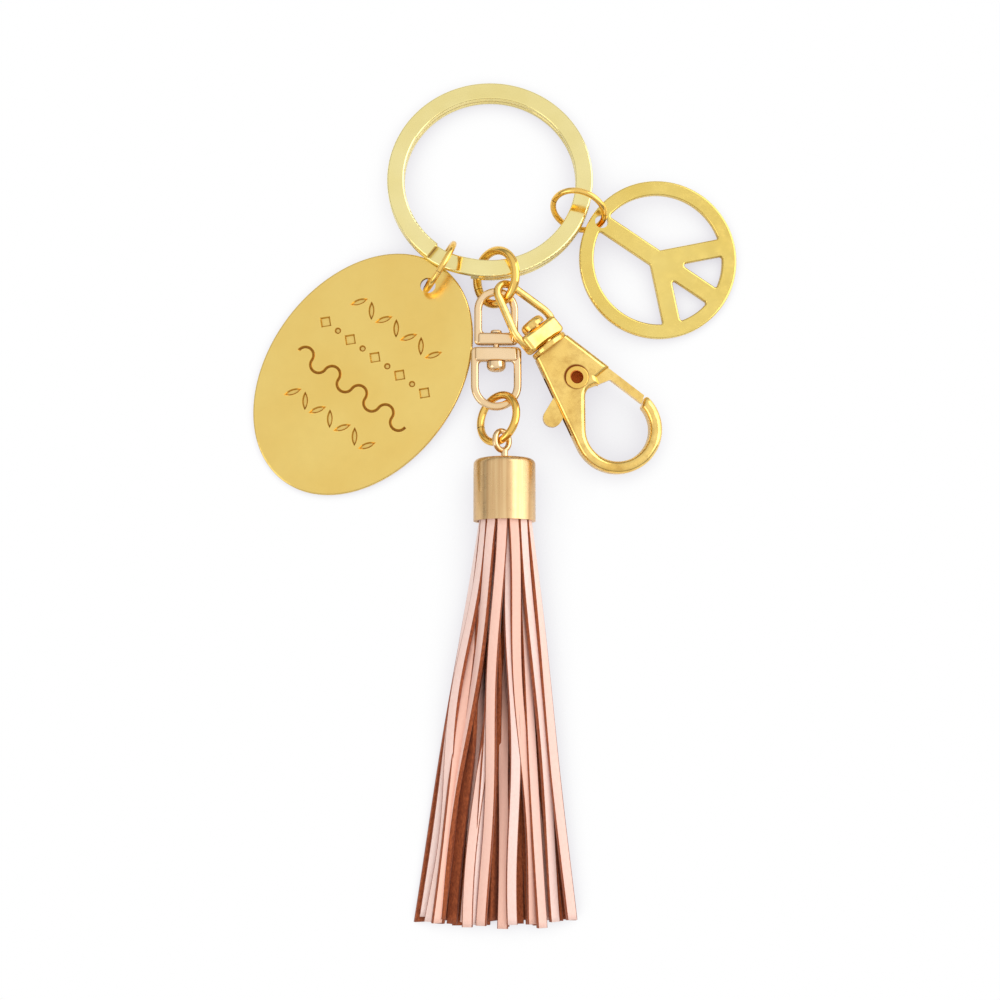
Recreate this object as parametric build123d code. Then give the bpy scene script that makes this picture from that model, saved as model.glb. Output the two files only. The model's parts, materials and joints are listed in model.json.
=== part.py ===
from build123d import *
from math import atan2, cos, degrees, hypot, radians, sin
import os

# Split-ring keychain, laid flat: an oval tag, a peace charm, a lobster clasp and a tassel
# hang on a split ring through open jump rings.  Millimetres, +Z up, everything rests on z = 0.
# Each piece is drawn in a plane frame of its own and then placed.  Places in the plan are
# given from the split ring's centre, +Y away from the tassel.

# ---------------------------------------------------------------- clearances
RUN_FIT = 0.05          # radial clearance of a pin that turns in its hole
END_PLAY = 0.12         # axial clearance beside a part that turns
BUTT_GAP = 0.10         # gap left at the cut ends of a bent wire
TABLE_GAP = 0.05        # lowest surfaces stand this far above the table

# ---------------------------------------------------------------- split ring
RING_OD = 35.0
RING_BAND = 2.9         # radial width of the flat wire
RING_WIRE = 1.2         # thickness of one turn
RING_SEAM = 0.05        # gap between the two turns
RING_EDGE = 0.28
RING_RAMP = 26.0        # degrees over which the wire climbs from one turn to the next
RING_END = 233.0        # where the upper turn ends
RING_RAMP_STEPS = 8
RING_TILT = 5.6         # the near side lies on the jump rings

# ---------------------------------------------------------------- jump rings
MAIN_LINK_OD = 10.5
MAIN_LINK_WIRE = 1.45
MAIN_LINK_AT = (1.06, -16.94, 4.08)
MAIN_LINK_INCLINE = 44.3
MAIN_LINK_PITCH = 2.5
MAIN_LINK_YAW = 2.6
MAIN_LINK_CUT = 200.0     # where the wire is cut, degrees round the ring

CHARM_LINK_OD = 9.9
CHARM_LINK_WIRE = 1.0
CHARM_LINK_AT = (15.03, -5.45, 4.44)
CHARM_LINK_INCLINE = 61.3
CHARM_LINK_YAW = -17.3
CHARM_LINK_CUT = 170.0

TAG_LINK_OD = 10.1
TAG_LINK_WIRE = 1.0
TAG_LINK_AT = (-8.45, -15.4, 5.0)
TAG_LINK_YAW = 60.4
TAG_LINK_LEAN = 101.8
TAG_LINK_CUT = 110.0

TASSEL_LINK_OD = 9.5
TASSEL_LINK_WIRE = 1.3
TASSEL_LINK_AT = (1.42, -41.09, 4.08)
TASSEL_LINK_INCLINE = 43.3
TASSEL_LINK_PITCH = -13.2
TASSEL_LINK_YAW = 0.0
TASSEL_LINK_CUT = 190.0

# ---------------------------------------------------------------- oval tag
TAG_LENGTH = 45.2
TAG_WIDTH = 32.2
TAG_THICK = 1.1
TAG_EDGE = 0.28
TAG_AT = (-21.44, -33.01)
TAG_YAW = 54.0
TAG_PITCH = 2.23        # the hole end is carried by its jump ring
TAG_HOLE = 2.6
TAG_HOLE_RIM = 2.7      # metal between the hole and the tip
ENGRAVE_DEPTH = 0.3
ENGRAVE_TAPER = 38.0    # the cut's walls lean outwards, as a stamping tool leaves them
ENGRAVE_LINE = 0.5
MARK_PITCH = 2.6        # from mark to mark along a row of the ornament
LEAF_ROW_X = 9.5        # rows at either side of the tag's middle
LEAF_COUNT = 7
LEAF_LENGTH = 3.2
LEAF_WIDTH = 1.0
LEAF_TURN = 35.0
DOT_ROW_X = 3.4
DOT_COUNT = 9
DOT_OD = 1.1
LOZENGE = 1.7
WAVE_ROW_X = -3.2
WAVE_PITCH = 2.8
WAVE_COUNT = 8

# ---------------------------------------------------------------- peace charm
CHARM_OD = 27.0
CHARM_RIM = 2.4
CHARM_BAR = 3.0
CHARM_THICK = 1.4
CHARM_EDGE = 0.3
CHARM_HOLE = 2.3
CHARM_HOLE_RIM = 0.75   # metal between the hole and the outer edge
CHARM_AT = (28.52, -13.46)
CHARM_YAW = 147.0
CHARM_PITCH = 6.3       # the hole end is carried by its jump ring
SIDE_BAR_ANGLE = 45.0
WINDOW_ROUND = 0.4

# ---------------------------------------------------------------- swivel connector
SWIVEL_X = 1.07
SWIVEL_TOP_Y = -18.78
SWIVEL_Z = 3.53          # height of the swivel's axis midway between its bars
SWIVEL_PITCH = 1.5       # the upper end is higher
SWIVEL_THICK = 1.4
SWIVEL_BAR_THICK = 2.0
SWIVEL_ARM = 1.3
SWIVEL_ROUND = 0.45
LOOP_CORNER = 0.8       # plan radius of the loops' bar corners
LOOP_INNER_CORNER = 0.7
UPPER_LOOP_WIDTH = 7.4
UPPER_LOOP_LENGTH = 9.7
UPPER_BAR = 2.0
LOWER_LOOP_WIDTH = 8.5
LOWER_LOOP_LENGTH = 10.7
LOWER_BAR = 2.4
LOOP_GAP = 0.4
RIVET_PIN = 1.0
RIVET_HEAD = 3.2
RIVET_HEAD_THICK = 1.6
RIVET_PEEN = 1.9
RIVET_PEEN_THICK = 0.5
DOME = 0.6              # share of a head's thickness that is rounded over

# ---------------------------------------------------------------- tassel
TASSEL_X = 2.45
CAP_OD = 10.3
CAP_LENGTH = 10.4
CAP_WALL = 0.6
CAP_TOP_ROUND = 1.0
CAP_TOP_Y = -48.1
EYE_OD = 4.2
EYE_WIRE = 1.0
EYE_Y = -45.0
EYE_ROLL = -44.0
EYE_OFFSET = -0.4       # the eye is bent a little to one side
EYE_PIN = 1.2
WASHER_OD = 4.6
WASHER_THICK = 0.6
PEEN_OD = 2.4
PEEN_THICK = 0.7
GLUE_LINE = 0.05        # between the leather roll and the cap
FRINGE_TIP_Y = -125.0
FRINGE_TIP_WIDTH = 28.4
FRINGE_TIP_THICK = 3.6
FRINGE_MID_WIDTH = 17.4
FRINGE_MID_THICK = 6.6
FRINGE_MID_Y = -86.0
FRINGE_DRIFT = 1.6      # the tip lies this far to the side of the cap's centre line

# ---------------------------------------------------------------- lobster clasp
CLASP_AT = (10.29, -29.24, 4.67)     # centre of the neck flange's face
CLASP_YAW = -50.9
CLASP_PITCH = 5.1
CLASP_THICK = 4.0
CLASP_ROUND = 0.9
CLASP_FLANGE = 6.7
CLASP_FLANGE_THICK = 1.0
FLANGE_ROUND = 0.3
HOOK_X = 17.6           # hook centre from the flange face
HOOK_OUTER = 7.45
HOOK_INNER = 5.4
THROAT_AT = (11.3, 0.75)    # the opening narrows to this circle beside the pivot
THROAT_RADIUS = 2.1
NOSE_REACH = 11.9       # the hook's nose ends on this circle about the pivot
NOSE_ROUND = 0.45
GATE_PLAY = 0.15        # gap between the gate's tip and the nose
GATE_ROOT_X = 8.6
GATE_THICK = 1.35
GATE_INSET = 0.15       # gate's face below the body's edge
GATE_HEEL = 1.4         # length over which the gate thickens towards the hub
PIVOT_X = 6.6
EYELET_SHANK = 2.8
EYELET_BORE = 2.1
EYELET_BORE_DEPTH = 2.6     # the rivet is tubular from its upper head down to here
EYELET_HEAD = 3.8
EYELET_HEAD_THICK = 0.3
EYELET_HEAD_ROUND = 0.12
SLOT_WIDTH = 1.9
HUB_ROOM = 0.25         # play round the hub in its slot
TAB_ROOM_AHEAD = 22.0   # degrees the slot opens past the tab on either side
TAB_ROOM_BEHIND = 14.0
SLOT_FRONT = 1.2        # the tab's slot starts this far either side of the pivot
SLOT_BACK = 2.4
GATE_ROOM_X = 0.6       # the gate's slot starts this far behind the pivot
GATE_ROOM_Y = 1.5
LEVER_THICK = 1.7
LEVER_HUB = 2.4         # radius
LEVER_TRAVEL = 24.0     # degrees that the thumb tab swings towards the neck
TAB_ANGLE = -70.0
TAB_LENGTH = 9.3
TAB_WIDTH = 3.1
SPRING_WIRE = 0.3
SPRING_MEAN = 1.7       # radius
SPRING_TURNS = 2.0
SPRING_POCKET = 1.0
SPRING_PLAY = 0.04      # between the turns
SPRING_LIFT = 0.03      # above the pocket's floor
POST_SHANK = 2.2
POST_HEAD = 4.2
POST_HEAD_THICK = 1.4
POST_DEPTH = 1.8        # how far the post is pressed into the neck
POST_HEAD_ROOM = 0.2    # play round the post's head inside the bail
COLLAR_WIDTH = 7.8
COLLAR_LENGTH = 3.2
COLLAR_THICK = 2.8
COLLAR_ROUND = 0.7
BAIL_ROLL = -25.9       # turn of the bail about the post at rest
BAIL_LENGTH = 11.4      # collar centre to the outside of the loop's end
BAIL_WIRE = 1.2
BAIL_THICK = 1.3
BAIL_ROUND = 0.5
BAIL_WIDE = 4.5         # outer radius beside the collar
BAIL_NARROW = 2.4       # outer radius of the far end
BAIL_SHOULDER = 0.6     # from the collar's face to the widest place


def placed(shape, at, yaw=0.0, pitch=0.0, incline=0.0):
    """Turn a plane piece: incline lifts its +X side, pitch lifts its +Y side, yaw turns the plan."""
    return Pos(*at) * Rot(0, 0, yaw) * Rot(pitch, 0, 0) * Rot(0, -incline, 0) * shape


def along(shape, at, yaw, pitch):
    """Lay a piece whose length is +X so that it points to yaw in the plan and dips by pitch."""
    return Pos(*at) * Rot(0, 0, yaw) * Rot(0, pitch, 0) * shape


def face_edges(shape, low, high):
    """Edges that lie in the two faces at these heights."""
    edges = shape.edges()
    return edges.filter_by_position(Axis.Z, low, low) + edges.filter_by_position(Axis.Z, high, high)


def jump_ring(outer, wire, cut_at):
    """A ring of round wire with a butt joint, in its own XY plane."""
    radius = (outer - wire) / 2
    opening = degrees(BUTT_GAP / radius)
    section = Plane.XZ * Pos(radius, 0) * Circle(wire / 2)
    ring = revolve(section, axis=Axis.Z, revolution_arc=360 - opening)
    return Rot(0, 0, cut_at + opening / 2) * ring


def split_ring():
    """Two turns of flat wire, joined by a ramp; the cut ends lie beside the ramp."""
    mean = (RING_OD - RING_BAND) / 2
    pitch = RING_WIRE + RING_SEAM
    profile = RectangleRounded(RING_BAND, RING_WIRE, RING_EDGE)
    end_gap = degrees(BUTT_GAP / mean)

    def section(angle, rise):
        a = radians(angle)
        frame = Plane(origin=(0, 0, 0), x_dir=(cos(a), sin(a), 0), z_dir=(sin(a), -cos(a), 0))
        return frame * Pos(mean, RING_WIRE / 2 + rise) * profile

    top = RING_END + RING_RAMP
    turn = 360 - RING_RAMP - end_gap
    lower = revolve(section(top + end_gap, 0), axis=Axis.Z, revolution_arc=turn)
    upper = revolve(section(top, pitch), axis=Axis.Z, revolution_arc=turn)
    stations = []
    for i in range(RING_RAMP_STEPS + 1):
        t = i / RING_RAMP_STEPS
        stations.append(section(RING_END + RING_RAMP * t, pitch * t * t * (3 - 2 * t)))
    return lower + loft(stations) + upper


def ring_pose():
    """Place of the split ring's lower face centre, and its turn about X."""
    lift = RING_OD / 2 * sin(radians(RING_TILT))
    return Pos(0, 0, TABLE_GAP + lift) * Rot(-RING_TILT, 0, 0)


def leaf(length, width):
    """A pointed leaf, where two circles cross."""
    radius = (length * length + width * width) / (4 * width)
    shift = radius - width / 2
    return (Pos(0, shift) * Circle(radius)) & (Pos(0, -shift) * Circle(radius))


def row_places(count, pitch):
    """Places of evenly spaced marks about zero."""
    return [(i - (count - 1) / 2) * pitch for i in range(count)]


def tag_ornament():
    """Four rows across the tag: leaves, lozenges and dots, a wave, and leaves again."""
    marks = Sketch()
    for row_x in (LEAF_ROW_X, -LEAF_ROW_X):
        for i, y in enumerate(row_places(LEAF_COUNT, MARK_PITCH)):
            turn = LEAF_TURN if i % 2 else -LEAF_TURN
            marks += Pos(row_x, y) * Rot(0, 0, turn) * leaf(LEAF_LENGTH, LEAF_WIDTH)
    for i, y in enumerate(row_places(DOT_COUNT, MARK_PITCH)):
        mark = Circle(DOT_OD / 2) if i % 2 else Rot(0, 0, 45) * Rectangle(LOZENGE, LOZENGE)
        marks += Pos(DOT_ROW_X, y) * mark
    outer = (WAVE_PITCH + ENGRAVE_LINE) / 2
    inner = (WAVE_PITCH - ENGRAVE_LINE) / 2
    for i, y in enumerate(row_places(WAVE_COUNT, WAVE_PITCH)):
        side = outer if i % 2 else -outer
        half = (Circle(outer) - Circle(inner)) & (Pos(side, 0) * Rectangle(2 * outer, 4 * outer))
        marks += Pos(WAVE_ROW_X, y) * half
    return marks


def oval_tag():
    """Engraved oval plate; +X points to the hole, the back lies on z = 0."""
    plate = extrude(Ellipse(TAG_LENGTH / 2, TAG_WIDTH / 2), TAG_THICK)
    plate = fillet(plate.edges(), TAG_EDGE)
    hole_x = tag_hole_x()
    hole = Pos(hole_x, 0, TAG_THICK / 2) * Cylinder(TAG_HOLE / 2, 3 * TAG_THICK)
    plate -= hole
    for mark in tag_ornament().faces():
        plate -= Pos(0, 0, TAG_THICK) * extrude(mark, -ENGRAVE_DEPTH, taper=ENGRAVE_TAPER)
    return plate


def tag_hole_x():
    return TAG_LENGTH / 2 - TAG_HOLE_RIM - TAG_HOLE / 2


def charm_hole_x():
    return CHARM_OD / 2 - CHARM_HOLE_RIM - CHARM_HOLE / 2


def peace_charm():
    """Open disc with a through bar and two side bars; +X points to the hole."""
    inner = CHARM_OD / 2 - CHARM_RIM
    bars = Rectangle(CHARM_OD, CHARM_BAR)
    side_bar = Pos(CHARM_OD / 4, 0) * Rectangle(CHARM_OD / 2, CHARM_BAR)
    for side in (1, -1):
        bars += Rot(0, 0, 180 + side * SIDE_BAR_ANGLE) * side_bar
    windows = Circle(inner) - bars
    windows = fillet(windows.vertices(), WINDOW_ROUND)
    disc = Circle(CHARM_OD / 2) - windows
    body = extrude(disc, CHARM_THICK)
    body = fillet(face_edges(body, 0, CHARM_THICK), CHARM_EDGE)
    return body - Pos(charm_hole_x(), 0, CHARM_THICK / 2) * Cylinder(CHARM_HOLE / 2, 3 * CHARM_THICK)


def d_loop(width, length, arm, bar):
    """A D-shaped loop: straight bar on y = 0 below, round end at y = length."""
    radius = width / 2
    outer = Pos(0, (length - radius) / 2) * Rectangle(width, length - radius)
    outer += Pos(0, length - radius) * Circle(radius)
    hole_radius = radius - arm
    straight = length - radius - bar
    hole = Pos(0, bar + straight / 2) * Rectangle(2 * hole_radius, straight)
    hole += Pos(0, length - radius) * Circle(hole_radius)
    corners = outer.vertices().sort_by(Axis.Y)[:2]
    outer = fillet(corners, LOOP_CORNER)
    inner_corners = hole.vertices().sort_by(Axis.Y)[:2]
    hole = fillet(inner_corners, LOOP_INNER_CORNER)
    return outer - hole


def swivel_loop(width, length, bar, hole):
    """Cast loop with rounded edges and a pin hole through its bar."""
    loop = extrude(d_loop(width, length, SWIVEL_ARM, bar), SWIVEL_THICK / 2, both=True)
    loop = fillet(face_edges(loop, -SWIVEL_THICK / 2, SWIVEL_THICK / 2), SWIVEL_ROUND)
    boss = Pos(0, bar / 2, 0) * Box(width - SWIVEL_ARM, bar, SWIVEL_BAR_THICK)
    boss = fillet(boss.edges(), SWIVEL_ROUND)
    loop += boss
    return loop - Pos(0, bar / 2, 0) * Rot(90, 0, 0) * Cylinder(hole / 2, 2 * bar)


def swivel_rivet():
    """Pin with a domed head under the lower bar, peened over the upper bar; axis +Y."""
    span = UPPER_BAR + LOOP_GAP + LOWER_BAR + END_PLAY
    pin = Pos(0, 0, span / 2) * Cylinder(RIVET_PIN / 2, span)
    head = Pos(0, 0, -RIVET_HEAD_THICK / 2) * Cylinder(RIVET_HEAD / 2, RIVET_HEAD_THICK)
    head = fillet(head.edges().sort_by(Axis.Z)[0], RIVET_HEAD_THICK * DOME)
    peen = Pos(0, 0, span + RIVET_PEEN_THICK / 2) * Cylinder(RIVET_PEEN / 2, RIVET_PEEN_THICK)
    peen = fillet(peen.edges().sort_by(Axis.Z)[-1], RIVET_PEEN_THICK * DOME)
    return Rot(-90, 0, 0) * (pin + head + peen)


def tassel_cap():
    """Deep drawn cup, open towards +X, with a pin hole in its closed end; its axis is X."""
    radius = CAP_OD / 2
    cup = Pos(CAP_LENGTH / 2, 0, 0) * Rot(0, 90, 0) * Cylinder(radius, CAP_LENGTH)
    cup = fillet(cup.edges().sort_by(Axis.X)[0], CAP_TOP_ROUND)
    inside = CAP_LENGTH - CAP_WALL
    hollow = Pos(CAP_WALL + inside / 2, 0, 0) * Rot(0, 90, 0) * Cylinder(radius - CAP_WALL, inside)
    hollow = fillet(hollow.edges().sort_by(Axis.X)[0], CAP_TOP_ROUND - CAP_WALL / 2)
    return cup - hollow - Rot(0, 90, 0) * Cylinder(EYE_PIN / 2, 4 * CAP_WALL)


def eye_pin():
    """Wire eye, its shank through the cap's end, and the peened tip; axis X, cap face at x = 0."""
    radius = (EYE_OD - EYE_WIRE) / 2
    centre = CAP_TOP_Y - EYE_Y
    eye = Pos(centre, EYE_OFFSET, 0) * Rot(EYE_ROLL, 0, 0) * Torus(radius, EYE_WIRE / 2)
    tip = CAP_WALL + WASHER_THICK
    shank_start = centre + radius
    shank = Pos((shank_start + tip) / 2, 0, 0) * Rot(0, 90, 0) * Cylinder(EYE_PIN / 2, tip - shank_start)
    peen = Pos(tip + PEEN_THICK / 2, 0, 0) * Rot(0, 90, 0) * Cylinder(PEEN_OD / 2, PEEN_THICK)
    peen = fillet(peen.edges().sort_by(Axis.X)[-1], PEEN_THICK * DOME)
    return eye + shank + peen


def cap_washer():
    """Washer that spreads the pin's pull inside the cap."""
    ring = Cylinder(WASHER_OD / 2, WASHER_THICK) - Cylinder(EYE_PIN / 2, 3 * WASHER_THICK)
    return Pos(CAP_WALL + WASHER_THICK / 2, 0, 0) * Rot(0, 90, 0) * ring


def tassel_fringe():
    """Rolled leather: a round roll glued in the cap, then strips that spread and sink to the table."""
    roll = CAP_OD / 2 - CAP_WALL - GLUE_LINE
    roll_start = CAP_WALL + WASHER_THICK + PEEN_THICK + END_PLAY
    roll_length = CAP_LENGTH - roll_start
    core = Pos(roll_start + roll_length / 2, 0, 0) * Rot(0, 90, 0) * Cylinder(roll, roll_length)
    length = CAP_TOP_Y - FRINGE_TIP_Y
    middle = CAP_TOP_Y - FRINGE_MID_Y
    drop = CAP_OD / 2

    def section(x, width, thick, drift):
        frame = Plane(origin=(x, 0, 0), x_dir=(0, 1, 0), z_dir=(1, 0, 0))
        sunk = -drop + thick / 2 + TABLE_GAP
        return frame * Pos(-drift, sunk) * Ellipse(width / 2, thick / 2)

    mouth = Plane(origin=(CAP_LENGTH, 0, 0), x_dir=(0, 1, 0), z_dir=(1, 0, 0)) * Ellipse(roll, roll)
    mid = section(middle, FRINGE_MID_WIDTH, FRINGE_MID_THICK, FRINGE_DRIFT / 2)
    tip = section(length, FRINGE_TIP_WIDTH, FRINGE_TIP_THICK, FRINGE_DRIFT)
    return core + loft([mouth, mid, tip])


def tassel_pose():
    """The cap's axis points to -Y and lies its own radius above the table."""
    return Pos(TASSEL_X, CAP_TOP_Y, CAP_OD / 2 + TABLE_GAP) * Rot(0, 0, -90)


def clasp_outline():
    """Clasp seen flat: a wedge from the neck that is tangent to the hook's outer circle."""
    half = CLASP_FLANGE / 2
    distance = hypot(HOOK_X, half)
    reach = (distance ** 2 - HOOK_OUTER ** 2) ** 0.5
    angle = atan2(-half, HOOK_X) + atan2(HOOK_OUTER, reach)
    tip = (reach * cos(angle), half + reach * sin(angle))
    wedge = make_face(Polyline((0, -half), (tip[0], -tip[1]), tip, (0, half), (0, -half)))
    return wedge + Pos(HOOK_X, 0) * Circle(HOOK_OUTER), angle


def clasp_pivot():
    return Pos(PIVOT_X, 0, 0)


def clasp_body():
    """Cast body: neck flange, two cheeks about the lever's slot, and the open hook; length +X."""
    outline, _ = clasp_outline()
    flat = outline - hook_opening() - mouth_wedge()
    corners = [v for v in flat.vertices() if v.X > HOOK_X - HOOK_INNER and v.Y > HOOK_INNER - 1]
    flat = fillet(corners, NOSE_ROUND)
    body = extrude(flat, CLASP_THICK / 2, both=True)
    rims = [e for e in face_edges(body, -CLASP_THICK / 2, CLASP_THICK / 2) if e.center().X > 0.1]
    body = fillet(rims, CLASP_ROUND)
    flange = Rot(0, 90, 0) * Cylinder(CLASP_FLANGE / 2, CLASP_FLANGE_THICK)
    body += Pos(-CLASP_FLANGE_THICK / 2, 0, 0) * fillet(flange.edges(), FLANGE_ROUND)
    body -= extrude(lever_slot(), SLOT_WIDTH / 2, both=True)
    body -= clasp_pivot() * Cylinder(EYELET_SHANK / 2, 2 * CLASP_THICK)
    bore = POST_DEPTH + CLASP_FLANGE_THICK
    body -= Pos(POST_DEPTH - bore, 0, 0) * Rot(0, 90, 0) * Cylinder(
        POST_SHANK / 2, bore, align=(Align.CENTER, Align.CENTER, Align.MIN))
    return body


def hook_opening():
    """Egg-shaped opening: the hook's circle and the throat's, with the straight sides between."""
    hook = Pos(HOOK_X, 0) * Circle(HOOK_INNER)
    throat = Pos(*THROAT_AT) * Circle(THROAT_RADIUS)
    return make_hull(hook.edges() + throat.edges())


def mouth_wedge():
    """The hook's mouth on the gate side, from the gate's root to the nose's face."""
    far = 3 * HOOK_OUTER
    wedge = make_face(Polyline(
        (HOOK_X, 0),
        (HOOK_X, far),
        (GATE_ROOT_X, far),
        (GATE_ROOT_X, HOOK_INNER / 2),
        (HOOK_X, 0)))
    return wedge & (clasp_pivot() * Circle(NOSE_REACH))


def lever_slot():
    """Room between the cheeks for the lever's hub, the tab's swing and the gate's swing."""
    hub = clasp_pivot() * Circle(LEVER_HUB + HUB_ROOM)
    far = 2 * TAB_LENGTH
    first = radians(TAB_ANGLE + TAB_ROOM_AHEAD)
    last = radians(TAB_ANGLE - LEVER_TRAVEL - TAB_ROOM_BEHIND)
    tab = make_face(Polyline(
        (PIVOT_X + SLOT_FRONT, 1),
        (PIVOT_X + far * cos(first), far * sin(first)),
        (PIVOT_X + far * cos(last), far * sin(last)),
        (PIVOT_X - SLOT_BACK, 1),
        (PIVOT_X + SLOT_FRONT, 1)))
    gate = make_face(Polyline(
        (PIVOT_X - GATE_ROOM_X, 0),
        (PIVOT_X - GATE_ROOM_X, far),
        (HOOK_X, far),
        (HOOK_X, 0),
        (PIVOT_X + LEVER_HUB + HUB_ROOM, -GATE_ROOM_Y),
        (PIVOT_X - GATE_ROOM_X, 0)))
    return hub + tab + (gate & (clasp_pivot() * Circle(NOSE_REACH)))


def clasp_lever():
    """Gate and thumb tab in one stamped lever, turning on the eyelet."""
    _, slope = clasp_outline()
    hub = clasp_pivot() * Circle(LEVER_HUB)
    tab = Rot(0, 0, TAB_ANGLE) * Pos(TAB_LENGTH / 2, 0) * SlotOverall(TAB_LENGTH, TAB_WIDTH)
    half = CLASP_FLANGE / 2

    def on_edge(x, inward):
        return (x + inward * sin(slope), half + x * sin(slope) / cos(slope) - inward * cos(slope))

    reach = PIVOT_X + NOSE_REACH
    gate = make_face(Polyline(
        on_edge(PIVOT_X, GATE_INSET),
        on_edge(reach, GATE_INSET),
        on_edge(reach, GATE_INSET + GATE_THICK),
        on_edge(GATE_ROOT_X + GATE_HEEL, GATE_INSET + GATE_THICK),
        (PIVOT_X + LEVER_HUB, 0),
        (PIVOT_X, 0),
        on_edge(PIVOT_X, GATE_INSET)))
    gate = gate & (clasp_pivot() * Circle(NOSE_REACH - GATE_PLAY))
    flat = hub + clasp_pivot() * tab + gate
    lever = extrude(flat, LEVER_THICK / 2, both=True)
    lever -= clasp_pivot() * Cylinder(EYELET_SHANK / 2 + RUN_FIT, 2 * LEVER_THICK)
    pocket = Cylinder(SPRING_MEAN + SPRING_WIRE, SPRING_POCKET)
    return lever - clasp_pivot() * Pos(0, 0, (LEVER_THICK - SPRING_POCKET) / 2) * pocket


def clasp_spring():
    """Torsion coil about the eyelet, in the lever's pocket."""
    rise = SPRING_WIRE + SPRING_PLAY
    height = rise * SPRING_TURNS
    coil = Helix(rise, height, SPRING_MEAN)
    start = coil @ 0
    profile = Plane(origin=start, z_dir=coil % 0) * Circle(SPRING_WIRE / 2)
    wire = sweep(profile, path=coil)
    floor = LEVER_THICK / 2 - SPRING_POCKET
    return clasp_pivot() * Pos(0, 0, floor + SPRING_WIRE / 2 + SPRING_LIFT) * wire


def clasp_eyelet():
    """Half-tubular rivet through both cheeks, with a rolled head on each face."""
    length = CLASP_THICK
    shank = Cylinder(EYELET_SHANK / 2, length)
    for side in (1, -1):
        head = Cylinder(EYELET_HEAD / 2, EYELET_HEAD_THICK)
        head = fillet(head.edges(), EYELET_HEAD_ROUND)
        shank += Pos(0, 0, side * (length / 2 + EYELET_HEAD_THICK / 2)) * head
    mouth = length / 2 + EYELET_HEAD_THICK
    bore = Pos(0, 0, mouth - EYELET_BORE_DEPTH / 2) * Cylinder(EYELET_BORE / 2, EYELET_BORE_DEPTH)
    return clasp_pivot() * (shank - bore)


def collar_x():
    """Centre of the bail's collar, measured from the flange's face."""
    return -(CLASP_FLANGE_THICK + END_PLAY + COLLAR_LENGTH / 2)


def clasp_post():
    """Swivel post: pressed into the neck, through the collar, headed inside the bail."""
    head_face = collar_x() - COLLAR_LENGTH / 2 - END_PLAY
    length = POST_DEPTH - head_face
    shank = Pos((POST_DEPTH + head_face) / 2, 0, 0) * Rot(0, 90, 0) * Cylinder(POST_SHANK / 2, length)
    head = Rot(0, 90, 0) * Cylinder(POST_HEAD / 2, POST_HEAD_THICK)
    head = fillet(head.edges().sort_by(Axis.X)[0], POST_HEAD_THICK * DOME)
    return shank + Pos(head_face - POST_HEAD_THICK / 2, 0, 0) * head


def clasp_bail():
    """Flat collar about the post, and a pear-shaped wire loop."""
    end = collar_x() - BAIL_LENGTH
    wide_x = collar_x() - COLLAR_LENGTH / 2 - BAIL_SHOULDER
    narrow_x = end + BAIL_NARROW

    def pear(shrink):
        wide = BAIL_WIDE - shrink
        narrow = BAIL_NARROW - shrink
        run = wide_x - narrow_x
        a = atan2((wide - narrow), (run ** 2 - (wide - narrow) ** 2) ** 0.5)
        sides = make_face(Polyline(
            (wide_x - wide * sin(a), wide * cos(a)),
            (narrow_x - narrow * sin(a), narrow * cos(a)),
            (narrow_x - narrow * sin(a), -narrow * cos(a)),
            (wide_x - wide * sin(a), -wide * cos(a)),
            (wide_x - wide * sin(a), wide * cos(a))))
        return sides + Pos(wide_x, 0) * Circle(wide) + Pos(narrow_x, 0) * Circle(narrow)

    keep = Pos(collar_x() - BAIL_LENGTH, 0) * Rectangle(2 * BAIL_LENGTH, 4 * BAIL_WIDE)
    loop = extrude((pear(0) - pear(BAIL_WIRE)) & keep, BAIL_THICK / 2, both=True)
    rims = [e for e in face_edges(loop, -BAIL_THICK / 2, BAIL_THICK / 2) if e.center().X < collar_x() - 0.1]
    loop = fillet(rims, BAIL_ROUND)
    collar = Pos(collar_x(), 0, 0) * Box(COLLAR_LENGTH, COLLAR_WIDTH, COLLAR_THICK)
    collar = fillet(collar.edges(), COLLAR_ROUND)
    bore = Pos(collar_x(), 0, 0) * Rot(0, 90, 0) * Cylinder(POST_SHANK / 2 + RUN_FIT, COLLAR_LENGTH + 1)
    head_room = Pos(collar_x() - COLLAR_LENGTH / 2, 0, 0) * Rot(0, -90, 0) * Cylinder(
        POST_HEAD / 2 + POST_HEAD_ROOM, 2 * POST_HEAD_THICK, align=(Align.CENTER, Align.CENTER, Align.MIN))
    return (loop - head_room) + collar - bore


def on_clasp(shape):
    return along(shape, CLASP_AT, CLASP_YAW, CLASP_PITCH)


def raised(shape, at, yaw, pitch, reach):
    """Lay a plate whose +X end is lifted by pitch about its far end, reach behind its centre."""
    lift = TABLE_GAP + reach * sin(radians(pitch))
    return Pos(at[0], at[1], lift) * Rot(0, 0, yaw) * Rot(0, -pitch, 0) * shape


def swivel(shape):
    """Lay a piece of the swivel connector; y = 0 is midway between the two bars, its axis is Y."""
    middle = SWIVEL_TOP_Y - UPPER_LOOP_LENGTH - LOOP_GAP / 2
    return Pos(SWIVEL_X, middle, SWIVEL_Z) * Rot(SWIVEL_PITCH, 0, 0) * shape


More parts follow.
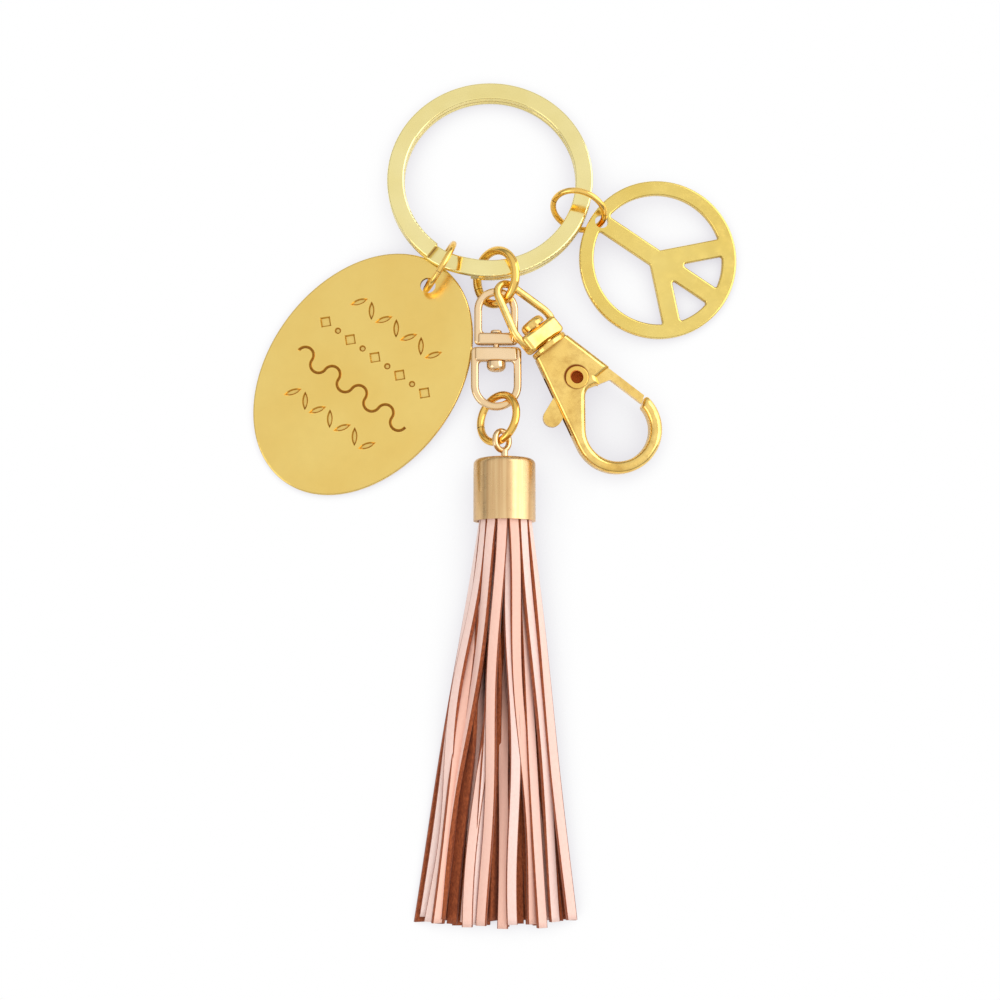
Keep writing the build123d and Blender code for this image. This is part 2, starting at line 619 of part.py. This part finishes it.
def build_nodes():
    loose_hole = RIVET_PIN + 2 * RUN_FIT
    bar_face = LOOP_GAP / 2
    rivet_y = -bar_face - LOWER_BAR - END_PLAY
    nodes = {
        "split_ring": ring_pose() * split_ring(),
        "main_jump_ring": placed(
            jump_ring(MAIN_LINK_OD, MAIN_LINK_WIRE, MAIN_LINK_CUT), MAIN_LINK_AT,
            yaw=MAIN_LINK_YAW, pitch=MAIN_LINK_PITCH, incline=MAIN_LINK_INCLINE),
        "charm_jump_ring": placed(
            jump_ring(CHARM_LINK_OD, CHARM_LINK_WIRE, CHARM_LINK_CUT), CHARM_LINK_AT,
            yaw=CHARM_LINK_YAW, pitch=CHARM_LINK_INCLINE),
        "tag_jump_ring": placed(
            jump_ring(TAG_LINK_OD, TAG_LINK_WIRE, TAG_LINK_CUT), TAG_LINK_AT,
            yaw=TAG_LINK_YAW, pitch=TAG_LINK_LEAN),
        "tassel_jump_ring": placed(
            jump_ring(TASSEL_LINK_OD, TASSEL_LINK_WIRE, TASSEL_LINK_CUT), TASSEL_LINK_AT,
            yaw=TASSEL_LINK_YAW, pitch=TASSEL_LINK_PITCH, incline=TASSEL_LINK_INCLINE),
        "oval_tag": raised(oval_tag(), TAG_AT, TAG_YAW, TAG_PITCH, TAG_LENGTH / 2),
        "peace_charm": raised(peace_charm(), CHARM_AT, CHARM_YAW, CHARM_PITCH, CHARM_OD / 2),
        "swivel_upper_loop": swivel(
            Pos(0, bar_face, 0) * swivel_loop(UPPER_LOOP_WIDTH, UPPER_LOOP_LENGTH, UPPER_BAR, RIVET_PIN)),
        "swivel_lower_loop": swivel(
            Pos(0, -bar_face, 0) * Rot(0, 0, 180)
            * swivel_loop(LOWER_LOOP_WIDTH, LOWER_LOOP_LENGTH, LOWER_BAR, loose_hole)),
        "swivel_rivet": swivel(Pos(0, rivet_y, 0) * swivel_rivet()),
        "tassel_cap": tassel_pose() * tassel_cap(),
        "tassel_eye_pin": tassel_pose() * eye_pin(),
        "tassel_washer": tassel_pose() * cap_washer(),
        "tassel_fringe": tassel_pose() * tassel_fringe(),
        "clasp_bail": on_clasp(Rot(BAIL_ROLL, 0, 0) * clasp_bail()),
        "clasp_swivel_post": on_clasp(clasp_post()),
        "clasp_body": on_clasp(clasp_body()),
        "clasp_pivot_eyelet": on_clasp(clasp_eyelet()),
        "clasp_lever": on_clasp(clasp_lever()),
        "clasp_lever_spring": on_clasp(clasp_spring()),
    }
    return nodes


def whole_shift(nodes):
    """Move that puts the middle of the whole footprint at the origin and its underside on z = 0."""
    boxes = [shape.bounding_box() for shape in nodes.values()]
    x = (min(b.min.X for b in boxes) + max(b.max.X for b in boxes)) / 2
    y = (min(b.min.Y for b in boxes) + max(b.max.Y for b in boxes)) / 2
    z = min(b.min.Z for b in boxes)
    return Pos(-x, -y, -z)


os.makedirs("parts", exist_ok=True)
all_nodes = build_nodes()
shift = whole_shift(all_nodes)
for name, shape in all_nodes.items():
    export_step(shift * shape, f"parts/{name}.step")
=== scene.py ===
import json
from math import pi, radians

import bpy
import numpy as np
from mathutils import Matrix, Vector


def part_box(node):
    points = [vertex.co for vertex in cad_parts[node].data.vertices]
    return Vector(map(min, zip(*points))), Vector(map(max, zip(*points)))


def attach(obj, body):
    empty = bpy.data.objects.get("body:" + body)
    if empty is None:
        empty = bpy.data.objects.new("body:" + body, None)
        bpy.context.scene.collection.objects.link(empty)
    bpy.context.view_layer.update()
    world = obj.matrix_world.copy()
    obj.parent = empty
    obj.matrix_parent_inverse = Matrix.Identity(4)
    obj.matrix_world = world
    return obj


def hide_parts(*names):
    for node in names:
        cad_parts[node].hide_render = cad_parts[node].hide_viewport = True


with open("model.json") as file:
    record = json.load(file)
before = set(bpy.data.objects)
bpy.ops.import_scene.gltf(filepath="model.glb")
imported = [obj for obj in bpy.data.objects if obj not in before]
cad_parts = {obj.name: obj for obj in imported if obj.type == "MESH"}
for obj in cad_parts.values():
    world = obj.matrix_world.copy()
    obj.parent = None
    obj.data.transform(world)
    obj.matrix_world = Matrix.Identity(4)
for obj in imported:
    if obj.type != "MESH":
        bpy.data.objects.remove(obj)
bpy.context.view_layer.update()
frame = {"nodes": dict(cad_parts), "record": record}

# Split-ring keychain with an oval tag, a peace charm, a lobster clasp and a leather tassel,
# laid flat on a white table.  Lengths in this script are millimetres; MM turns them to metres.
MM = 0.001

# ---------------------------------------------------------------- table, camera and lamps
TABLE_SIZE = 3000.0
TABLE_Z = -0.05             # a hair below the lowest piece
TABLE_WHITE = 0.90          # reflectance of the table
SHADE_REACH = 12.0 * MM     # how far from the object the table's shade spreads
SHADE_TONE = (0.60, 0.57, 0.63, 1.0)
SHADE_STARTS = 0.84         # openness above which the table is plain white
WHITE = (1.0, 1.0, 1.0, 1.0)

CAMERA_TILT = 6.4           # degrees from straight down
CAMERA_DISTANCE = 287.2
CAMERA_AIM = (0.70, -0.67)  # point of the table at the middle of the view
CAMERA_LENS = 61.2
SENSOR = 36.0
CAMERA_CLIP = 10.0

# how bright the room is by height: 0 at the horizon, 1 straight overhead
ROOM_LEVELS = (
    (0.0, 0.80), (0.08, 0.30), (0.25, 0.36), (0.45, 0.80),
    (0.80, 0.88), (0.95, 0.92), (0.99, 1.0))

# each lamp's place, width and height, and power in watts
KEY_LAMP = ((480, 150, 300), (650, 650), 2.2)
FILL_LAMP = ((-420, -200, 260), (300, 300), 0.35)

# ---------------------------------------------------------------- metal finish
CORNER_SHADE_REACH = 1.2 * MM    # how far a corner's painted shade spreads
CORNER_SHADE_SHUT = 0.30         # openness at which a corner's painted shade is darkest
CORNER_SHADE_OPEN = 0.86         # and at which there is no painted shade
# painted shade inside the eyelet's hole
BORE_SHADE_TONE = (205, 112, 52)
BORE_ROUGH = 0.6
# painted shade round the rim of the eyelet's head
RIM_SHADE_TONE = (130, 62, 20)
RIPPLE_DEPTH = 0.4 * MM
GRAIN_DEPTH = 0.05 * MM
NAP_DEPTH = 0.08 * MM
WIRE_DEPTH = 0.02 * MM

# scales of the noise patterns, in features per metre
DRIFT_SCALE = 90.0          # gold turning from one tone to the other
POLISH_SCALE = 650.0
WORN_SCALE = 330.0
WIPE_SCALE = 1500.0
GRAIN_SCALE = 5200.0
NAP_SCALE = 3600.0
CLOUD_SCALE = 160.0
LENGTHWISE = (1, 0.02, 1)   # stretches a pattern along the tassel

EYELET_BORE = 1.05 * MM     # radius of the hole in the clasp's eyelet
EYELET_HEAD = 1.90 * MM     # and of its head, round whose rim a painted shade is laid

# ---------------------------------------------------------------- tassel
STRIP_COUNT = 36
STRIP_WIDTH = 1.75
STRIP_THICK = 0.78
STRIP_CORNER = 0.14
STRIP_STATIONS = 56         # rings of points along one strip
STRIP_LAYERS = 3
STRIP_SEED = 7
FACE_SIDE = 2               # the outline's side that is the dyed face
ROLL_PITCH = 0.80           # from one turn of the rolled leather to the next
ROLL_START = 0.35           # radians from the right-hand side to the roll's outer end
ROLL_CORE = 0.4             # least radius of a turn
CAP_HOLD = 0.65             # from the cap's outside to the roll
CAP_INSIDE = 2.0            # how far inside the mouth the strips start
TIP_LAYER = 1.02            # from one layer of strips to the next at the tips
TIP_EDGE = 0.1              # outermost strips' clearance inside the fringe's width
TIP_SHIFT = (-0.25, 0.25, 0.0)  # each layer's sideways shift, in columns
TIP_THINNING = 0.25         # share by which the layers lie lower at the sides
TIP_DROP = 130              # a strip that leans by d ends d squared over this higher
SINK_POWER = 1.7            # how soon a strip sinks towards the table
ROLL_OVER = 1.6             # how soon it turns its face up or down
LIFT_STEP = 0.55            # every other upper strip lies this much higher
WAVE_SWAY = 1.4
WAVE_LOWER = 0.3            # share of that sway for strips that are not on top
STRIP_FLOOR = 0.03          # least height of a strip's edge
BUNCH_PITCH = 6.1           # upper strips gather in bunches this far apart
BUNCH_SWAY = 0.75           # and move this far to do so
BUNCH_START = 0.6
TILT_SPREAD = 0.5           # radians that a strip's face may tilt at the tip
TILTED_MORE = 8             # strips that tilt by a further step, and the step
TILT_STEP = 0.7
TIP_CLEAR = 0.08            # lowest strip above the table


def linear(red, green, blue):
    """A colour written as 0 to 255 screen values, as the linear values that a shader takes."""
    c = np.array([red, green, blue]) / 255.0
    low = c / 12.92
    high = ((c + 0.055) / 1.055) ** 2.4
    return (*np.where(c <= 0.04045, low, high).tolist(), 1.0)


# ---------------------------------------------------------------- shader helpers
class Shader:
    """A material's node tree with short calls to add and link nodes."""

    def __init__(self, name):
        self.material = bpy.data.materials.new(name)
        self.material.use_nodes = True
        self.nodes = self.material.node_tree.nodes
        self.links = self.material.node_tree.links
        self.nodes.clear()
        self.output = self.nodes.new("ShaderNodeOutputMaterial")

    def add(self, kind, inputs=None, **settings):
        """A node of one kind, with its inputs fed from values or from other nodes' sockets."""
        node = self.nodes.new(kind)
        for key, value in settings.items():
            setattr(node, key, value)
        for key, value in (inputs or {}).items():
            self.feed(node.inputs[key], value)
        return node

    def feed(self, socket, value):
        if isinstance(value, bpy.types.NodeSocket):
            self.links.new(value, socket)
        else:
            socket.default_value = value

    def noise(self, scale, detail=2.0, roughness=0.5, stretch=(1, 1, 1)):
        """Noise on the piece's own coordinates, drawn out where stretch is under 1."""
        place = self.add("ShaderNodeTexCoord").outputs["Object"]
        drawn = self.add("ShaderNodeMapping", {"Vector": place, "Scale": stretch})
        texture = self.add("ShaderNodeTexNoise", {
            "Vector": drawn.outputs["Vector"],
            "Scale": scale, "Detail": detail, "Roughness": roughness})
        return texture.outputs["Fac"]

    def reach(self, centre):
        """Distance from the upright line through centre."""
        place = self.add("ShaderNodeTexCoord").outputs["Object"]
        level = self.add("ShaderNodeMapping", {
            "Vector": place, "Location": (-centre[0], -centre[1], 0.0),
            "Scale": (1.0, 1.0, 0.0)})
        length = self.add(
            "ShaderNodeVectorMath", {0: level.outputs["Vector"]}, operation="LENGTH")
        return length.outputs["Value"]

    def spread(self, value, low, high, start=0.3, end=0.7):
        """Value, which runs from start to end, stretched to run from low to high."""
        node = self.add("ShaderNodeMapRange", {
            "Value": value, "From Min": start, "From Max": end, "To Min": low, "To Max": high})
        return node.outputs["Result"]

    def mix(self, factor, first, second):
        """Colour between first, at 0, and second, at 1."""
        node = self.add("ShaderNodeMix", data_type="RGBA")
        self.feed(node.inputs[0], factor)
        self.feed(node.inputs[6], first)
        self.feed(node.inputs[7], second)
        return node.outputs[2]

    def bump(self, height, strength, distance, normal=None):
        node = self.add("ShaderNodeBump", {
            "Height": height, "Strength": strength, "Distance": distance})
        if normal is not None:
            self.links.new(normal, node.inputs["Normal"])
        return node.outputs["Normal"]

    def finish(self, surface):
        self.links.new(surface, self.output.inputs["Surface"])
        return self.material


def plated(name, light, deep, shade_and_wipe_tone=(150, 84, 28), rough=0.16, rough_spread=0.06,
           ripple=0.05, ripple_scale=420.0, grain=0.03, tarnish=0.0,
           tarnish_tone=(150, 106, 40), streaks=False, bore=None, rim_shade=None):
    """Gold plate.  The tone drifts slowly between two golds and turns to a painted shade tone in
    corners and engraved lines that ambient occlusion finds.  The polish varies, and a faint ripple
    from tumbling and a finer grain bend the reflections.  tarnish is how far worn patches darken,
    streaks are lengthwise wipe marks in that same tone, bore is (centre, radius in metres) of an
    upright hole left unpolished, with a painted shade inside, and rim_shade is (centre, radius) of
    a head pressed on the part, with a painted shade round its rim."""
    s = Shader(name)
    drift = s.spread(s.noise(DRIFT_SCALE, 3.0), 0.0, 1.0)
    tone = s.mix(drift, linear(*light), linear(*deep))
    polish = s.spread(
        s.noise(POLISH_SCALE, 4.0, 0.6), rough - rough_spread, rough + rough_spread)
    if tarnish:
        worn = s.spread(s.noise(WORN_SCALE, 6.0, 0.68), 0.0, tarnish, 0.46, 0.68)
        tone = s.mix(worn, tone, linear(*tarnish_tone))
    if streaks:
        wipe = s.spread(s.noise(WIPE_SCALE, 3.0, 0.6, LENGTHWISE), 0.0, 0.45, 0.42, 0.72)
        tone = s.mix(wipe, tone, linear(*shade_and_wipe_tone))
    # painted shade: ambient occlusion darkens corners and engraved lines towards the shade tone
    corner = s.add("ShaderNodeAmbientOcclusion", {"Distance": CORNER_SHADE_REACH},
                   samples=6, only_local=True)
    open_air = s.spread(corner.outputs["AO"], 0.0, 1.0, CORNER_SHADE_SHUT, CORNER_SHADE_OPEN)
    tone = s.mix(open_air, linear(*shade_and_wipe_tone), tone)
    # painted shade inside the hole, which is also left rough
    if bore:
        centre, radius = bore
        inside = s.spread(s.reach(centre), 1.0, 0.0, radius * 0.93, radius * 1.04)
        tone = s.mix(inside, tone, linear(*BORE_SHADE_TONE))
        polish = s.spread(inside, polish, BORE_ROUGH, 0.0, 1.0)
    # painted shade round the rim of a head pressed on the part
    if rim_shade:
        centre, radius = rim_shade
        rim = s.spread(s.reach(centre), 1.0, 0.0, radius * 1.03, radius * 1.16)
        tone = s.mix(rim, tone, linear(*RIM_SHADE_TONE))
    wavy = s.bump(s.noise(ripple_scale), ripple, RIPPLE_DEPTH)
    fine = s.bump(s.noise(GRAIN_SCALE, 3.0), grain, GRAIN_DEPTH, wavy)
    skin = s.add("ShaderNodeBsdfPrincipled", {
        "Base Color": tone, "Metallic": 1.0, "Roughness": polish, "Normal": fine})
    return s.finish(skin.outputs["BSDF"])


def spring_wire():
    """Drawn steel wire, unevenly polished."""
    s = Shader("spring_wire")
    polish = s.spread(s.noise(WIPE_SCALE, 4.0), 0.22, 0.38)
    skin = s.add("ShaderNodeBsdfPrincipled", {
        "Base Color": linear(176, 176, 180), "Metallic": 1.0, "Roughness": polish,
        "Normal": s.bump(s.noise(6000.0), 0.1, WIRE_DEPTH)})
    return s.finish(skin.outputs["BSDF"])


def tassel_leather():
    """Split leather: pink dyed face, tan cut edges and back, each strip a slightly different
    tone, with a short suede nap.  The edges and back are darker than the leather's own tan, a
    painted shade for the gaps between strips."""
    s = Shader("pink_split_leather")
    side = s.add("ShaderNodeAttribute", attribute_name="side").outputs["Fac"]
    tone = s.add("ShaderNodeAttribute", attribute_name="tone").outputs["Fac"]
    nap = s.noise(NAP_SCALE, 5.0, 0.65, (1, 0.45, 1))
    cloud = s.spread(s.noise(CLOUD_SCALE, 3.0, 0.5, (1, 0.25, 1)), 0.0, 1.0)
    face = s.mix(tone, linear(252, 196, 172), linear(255, 236, 230))
    face = s.mix(s.spread(nap, 0.0, 0.3), face, linear(236, 176, 156))
    face = s.mix(s.spread(cloud, 0.0, 0.25, 0.0, 1.0), face, linear(242, 186, 166))
    # cut edges and back: the leather's tan, darkened further as painted shade for the gaps
    cut = s.mix(s.spread(nap, 0.0, 1.0), linear(180, 92, 46), linear(118, 50, 20))
    skin = s.add("ShaderNodeBsdfPrincipled", {
        "Base Color": s.mix(side, cut, face), "Roughness": s.spread(nap, 0.72, 0.9),
        "Sheen Weight": 0.25, "Sheen Roughness": 0.5, "Specular IOR Level": 0.3,
        "Normal": s.bump(nap, 0.35, NAP_DEPTH)})
    return s.finish(skin.outputs["BSDF"])


def table_white():
    """White table.  Light that bounces meets matt white.  Seen directly, or between a lamp and
    a piece, it is clear, so a piece that swings below it still shows; the white behind it is the
    room's.  The clear view gets a painted shade where the object lies close, from ambient
    occlusion, and it takes no shadow of a lamp."""
    s = Shader("table_white")
    rays = s.add("ShaderNodeLightPath").outputs
    seen = s.add("ShaderNodeMath", {0: rays["Is Camera Ray"], 1: rays["Is Shadow Ray"]},
                 operation="MAXIMUM").outputs[0]
    # painted shade: ambient occlusion darkens the clear view near the object towards SHADE_TONE
    near = s.add("ShaderNodeAmbientOcclusion", {"Distance": SHADE_REACH}, samples=16)
    openness = s.spread(near.outputs["AO"], 0.0, 1.0, 0.0, SHADE_STARTS)
    shade = s.mix(rays["Is Camera Ray"], WHITE, s.mix(openness, SHADE_TONE, WHITE))
    clear = s.add("ShaderNodeBsdfTransparent", {"Color": shade})
    paint = s.add("ShaderNodeBsdfDiffuse", {
        "Color": (TABLE_WHITE, TABLE_WHITE, TABLE_WHITE, 1.0)})
    both = s.add("ShaderNodeMixShader", {
        0: seen, 1: paint.outputs["BSDF"], 2: clear.outputs["BSDF"]})
    return s.finish(both.outputs["Shader"])


# ---------------------------------------------------------------- mesh helpers
def new_piece(name, vertices, faces, material, smooth=True):
    """A mesh object at the origin from arrays in millimetres."""
    mesh = bpy.data.meshes.new(name)
    mesh.from_pydata((np.asarray(vertices) * MM).tolist(), [], [f.tolist() for f in faces])
    mesh.materials.append(material)
    mesh.polygons.foreach_set("use_smooth", np.full(len(mesh.polygons), smooth))
    mesh.update()
    piece = bpy.data.objects.new(name, mesh)
    bpy.context.scene.collection.objects.link(piece)
    return piece


def strip_outline():
    """Rounded rectangle: each corner is three points on a quarter circle, counted round from
    the end of the right side at the face's corner.  Columns are width and height."""
    half_w = STRIP_WIDTH / 2 - STRIP_CORNER
    half_t = STRIP_THICK / 2 - STRIP_CORNER
    turn = np.repeat(np.arange(4), 3) * pi / 2 + np.tile([0.0, pi / 4, pi / 2], 4)
    centre_w = np.repeat([half_w, -half_w, -half_w, half_w], 3)
    centre_t = np.repeat([half_t, half_t, -half_t, -half_t], 3)
    return np.stack([
        centre_w + STRIP_CORNER * np.cos(turn), centre_t + STRIP_CORNER * np.sin(turn)], 1)


def tassel_strips(material):
    """Strips of one rolled sheet.  At the cap each strip sits on a spiral, its face outwards.  At
    the tips they lie in layers, side by side.  Between, the place goes from one to the other,
    sideways in proportion to the way down and downwards sooner, with a slow wave of its own."""
    rng = np.random.default_rng(STRIP_SEED)
    mouth_low, mouth_high = (np.array(c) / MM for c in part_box("tassel_cap"))
    fringe_low, fringe_high = (np.array(c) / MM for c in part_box("tassel_fringe"))
    axis_x = (mouth_low[0] + mouth_high[0]) / 2
    axis_z = (mouth_low[2] + mouth_high[2]) / 2
    mouth_y = mouth_low[1]
    tip_y = fringe_low[1]

    # spiral seats, from the outermost turn inwards
    outer = (mouth_high[0] - mouth_low[0]) / 2 - CAP_HOLD - STRIP_THICK / 2
    arc = np.arange(STRIP_COUNT) * STRIP_WIDTH
    radius = np.sqrt(np.maximum(outer ** 2 - ROLL_PITCH * arc / pi, ROLL_CORE ** 2))
    angle = 2 * pi * (outer - radius) / ROLL_PITCH + ROLL_START
    seat_x = radius * np.cos(angle)
    seat_z = radius * np.sin(angle)

    # layers at the tips: neighbours across the roll share a column, the highest on top
    order = np.argsort(seat_x)
    column = np.empty(STRIP_COUNT)
    layer = np.empty(STRIP_COUNT, int)
    columns = STRIP_COUNT // STRIP_LAYERS
    for c in range(columns):
        members = order[c * STRIP_LAYERS:(c + 1) * STRIP_LAYERS]
        ranked = members[np.argsort(seat_z[members])]
        column[ranked] = c
        layer[ranked] = np.arange(STRIP_LAYERS)
    spread = (fringe_high[0] - fringe_low[0]) / 2 - STRIP_WIDTH / 2 - TIP_EDGE
    middle_x = (fringe_high[0] + fringe_low[0]) / 2
    upper = layer == STRIP_LAYERS - 1
    shift = np.array(TIP_SHIFT)[layer]
    tip_x = middle_x + spread * ((column + 0.5 + shift) / columns * 2 - 1)
    tip_x += rng.uniform(-1.0, 1.0, STRIP_COUNT) * np.where(upper, 0.8, 0.2)
    bunch = BUNCH_SWAY * np.sin(2 * pi * tip_x / BUNCH_PITCH + BUNCH_START)
    tip_x += np.where(upper, bunch, 0.0)
    tip_x = np.clip(tip_x, middle_x - spread, middle_x + spread)
    lift = rng.uniform(0.0, 0.1, STRIP_COUNT) + np.where(upper, (column % 2) * LIFT_STEP, 0.0)
    thinning = 1 - TIP_THINNING * (np.abs(tip_x - middle_x) / spread) ** 2
    tip_z = lift + TIP_CLEAR + STRIP_THICK / 2 + layer * TIP_LAYER * thinning

    # roll of each strip about its own length: the face's direction in the x-z plane
    up = np.where(upper | ((layer > 0) & (column % 3 == 0)), pi / 2, -pi / 2)
    tilt = rng.uniform(-TILT_SPREAD, TILT_SPREAD, STRIP_COUNT)
    more = rng.permutation(STRIP_COUNT)[:TILTED_MORE]
    tilt[more] += rng.choice([-1.0, 1.0], TILTED_MORE) * TILT_STEP
    start_roll = np.arctan2(np.sin(angle), np.cos(angle))
    end_roll = up + tilt

    # the path of each strip: one row for each strip, one column for each station
    t = np.linspace(0.0, 1.0, STRIP_STATIONS)[None, :]
    lean = tip_x - axis_x - seat_x
    end_y = tip_y + lean ** 2 / TIP_DROP + rng.uniform(0.05, 1.3, STRIP_COUNT)
    y = mouth_y + CAP_INSIDE + (end_y[:, None] - mouth_y - CAP_INSIDE) * t
    down = np.clip((mouth_y - y) / (mouth_y - tip_y), 0.0, 1.0)
    sink = 1 - (1 - down) ** SINK_POWER
    sway = rng.uniform(-WAVE_SWAY, WAVE_SWAY, STRIP_COUNT) * np.where(upper, 1.0, WAVE_LOWER)
    waves = rng.uniform(0.6, 1.3, STRIP_COUNT)[:, None]
    phase = rng.uniform(0, 1, STRIP_COUNT)[:, None]
    wave = sway[:, None] * np.sin(2 * pi * (down * waves + phase))
    x = axis_x + seat_x[:, None] + lean[:, None] * down + wave * down * (1 - down) * 3
    z = axis_z + seat_z[:, None] + (tip_z - axis_z - seat_z)[:, None] * sink
    turned = np.clip(down * ROLL_OVER, 0, 1)
    roll = start_roll[:, None] + (end_roll - start_roll)[:, None] * turned
    half_height = STRIP_THICK / 2 * np.abs(np.sin(roll)) + STRIP_WIDTH / 2 * np.abs(np.cos(roll))
    z = np.maximum(z, half_height + STRIP_FLOOR)

    # the outline carried along each path, and the faces between its stations
    face_x = np.cos(roll)
    face_z = np.sin(roll)
    outline = strip_outline()
    across = outline[:, 0]
    above = outline[:, 1]
    px = x[..., None] + across * face_z[..., None] + above * face_x[..., None]
    pz = z[..., None] - across * face_x[..., None] + above * face_z[..., None]
    py = np.broadcast_to(y[..., None], px.shape)
    vertices = np.stack([px, py, pz], -1).reshape(-1, 3)

    around = len(outline)
    index = np.arange(STRIP_COUNT * STRIP_STATIONS * around)
    index = index.reshape(STRIP_COUNT, STRIP_STATIONS, around)
    here = index[:, :-1, :]
    there = index[:, 1:, :]
    quads = np.stack([here, there, np.roll(there, -1, 2), np.roll(here, -1, 2)], -1).reshape(-1, 4)
    starts = index[:, 0, :]
    ends = index[:, -1, ::-1]
    piece = new_piece("tassel_strips", vertices, [*quads, *starts, *ends], material)

    # side: 1 on the dyed face, 0 on the cut edges and the back; tone: one value for each strip
    slot = np.tile(np.arange(around), STRIP_COUNT * (STRIP_STATIONS - 1))
    on_face = (slot == FACE_SIDE).astype(float)
    on_face = np.concatenate([on_face, np.zeros(2 * STRIP_COUNT)])
    tone = rng.uniform(0.0, 1.0, STRIP_COUNT)
    tones = np.concatenate([np.repeat(tone, (STRIP_STATIONS - 1) * around), tone, tone])
    for label, values in (("side", on_face), ("tone", tones)):
        attribute = piece.data.attributes.new(label, "FLOAT", "FACE")
        attribute.data.foreach_set("value", values)
    return piece


# ---------------------------------------------------------------- materials
eyelet_low, eyelet_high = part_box("clasp_pivot_eyelet")
eyelet_centre = [(low + high) / 2 for low, high in zip(eyelet_low, eyelet_high)]

ring_gold = plated("ring_gold", (252, 238, 172), (242, 224, 148), rough=0.12,
                   ripple=0.8, ripple_scale=150.0)
tag_gold = plated("tag_gold", (236, 206, 120), (232, 198, 110), rough=0.20, ripple=0.01)
charm_gold = plated("charm_gold", (242, 216, 126), (234, 204, 108), rough=0.16,
                    ripple=0.3, ripple_scale=150.0)
link_gold = plated("link_gold", (254, 214, 122), (246, 196, 96), rough=0.11)
clasp_gold = plated("clasp_gold", (254, 222, 138), (244, 202, 108), rough=0.17, ripple=0.12,
                    ripple_scale=600.0, grain=0.06, tarnish=0.42, tarnish_tone=(168, 114, 42),
                    rim_shade=(eyelet_centre, EYELET_HEAD))
eyelet_gold = plated("eyelet_gold", (248, 208, 116), (232, 186, 88), rough=0.18, ripple=0.04,
                     bore=(eyelet_centre, EYELET_BORE))
champagne_gold = plated("champagne_gold", (246, 216, 174), (234, 200, 150), rough=0.15)
cap_gold = plated("cap_gold", (236, 202, 150), (224, 188, 136), rough=0.29, ripple=0.0,
                  grain=0.02, streaks=True, shade_and_wipe_tone=(180, 118, 62))
steel = spring_wire()
leather = tassel_leather()

FINISH = {
    "ring_gold": ring_gold,
    "tag_gold": tag_gold,
    "charm_gold": charm_gold,
    "link_gold": link_gold,
    "clasp_gold": clasp_gold,
    "champagne_gold": champagne_gold,
    "spring_steel": steel,
    "pink_leather": leather,
}
# nodes whose finish differs from the rest of their slot
SPECIAL = {
    "tassel_cap": cap_gold,
    "clasp_pivot_eyelet": eyelet_gold,
    "charm_jump_ring": link_gold,
}
for subpart in frame["record"]["subparts"]:
    mesh = frame["nodes"][subpart["node"]].data
    mesh.materials.clear()
    mesh.materials.append(SPECIAL.get(subpart["node"]) or FINISH[subpart["material_slot"]])

# ---------------------------------------------------------------- new pieces
strips = tassel_strips(leather)
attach(strips, "tassel")
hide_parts("tassel_fringe")

# ---------------------------------------------------------------- table
half = TABLE_SIZE / 2
corners = [(-half, -half, TABLE_Z), (half, -half, TABLE_Z),
           (half, half, TABLE_Z), (-half, half, TABLE_Z)]
table = new_piece("table", corners, [np.arange(4)], table_white(), smooth=False)

# ---------------------------------------------------------------- light
world = bpy.data.worlds.new("studio")
world.use_nodes = True
bpy.context.scene.world = world


def studio_light(tree):
    """Pale room: brightest overhead, with a dark band just above the horizon; plain white to
    the camera."""
    nodes = tree.nodes
    links = tree.links
    nodes.clear()
    place = nodes.new("ShaderNodeTexCoord")
    split = nodes.new("ShaderNodeSeparateXYZ")
    links.new(place.outputs["Generated"], split.inputs[0])
    ramp = nodes.new("ShaderNodeValToRGB")
    links.new(split.outputs["Z"], ramp.inputs[0])
    points = ramp.color_ramp.elements
    for position, _ in ROOM_LEVELS[1:-1]:
        points.new(position)
    for point, (position, level) in zip(points, ROOM_LEVELS):
        point.position = position
        point.color = (level, level, level, 1.0)
    rays = nodes.new("ShaderNodeLightPath")
    mix = nodes.new("ShaderNodeMix")
    mix.data_type = "RGBA"
    links.new(rays.outputs["Is Camera Ray"], mix.inputs[0])
    links.new(ramp.outputs["Color"], mix.inputs[6])
    mix.inputs[7].default_value = WHITE
    background = nodes.new("ShaderNodeBackground")
    links.new(mix.outputs[2], background.inputs["Color"])
    output = nodes.new("ShaderNodeOutputWorld")
    links.new(background.outputs[0], output.inputs["Surface"])


studio_light(world.node_tree)


def softbox(name, place, size, power):
    """Rectangular area lamp at place, facing the origin."""
    lamp = bpy.data.lights.new(name, "AREA")
    lamp.shape = "RECTANGLE"
    lamp.size, lamp.size_y = (s * MM for s in size)
    lamp.energy = power
    holder = bpy.data.objects.new(name, lamp)
    bpy.context.scene.collection.objects.link(holder)
    holder.location = Vector(place) * MM
    holder.rotation_euler = (-holder.location).to_track_quat("-Z", "Y").to_euler()


softbox("key", *KEY_LAMP)
softbox("fill", *FILL_LAMP)

# ---------------------------------------------------------------- camera
tilt = radians(CAMERA_TILT)
lens = bpy.data.cameras.new("camera")
lens.lens = CAMERA_LENS
lens.sensor_width = SENSOR
lens.clip_start = CAMERA_CLIP * MM
camera = bpy.data.objects.new("camera", lens)
camera.location = (
    CAMERA_AIM[0] * MM,
    (CAMERA_AIM[1] - CAMERA_DISTANCE * np.sin(tilt)) * MM,
    CAMERA_DISTANCE * np.cos(tilt) * MM)
camera.rotation_euler = (tilt, 0.0, 0.0)
bpy.context.scene.collection.objects.link(camera)
bpy.context.scene.camera = camera
bpy.context.scene.view_settings.view_transform = "Standard"
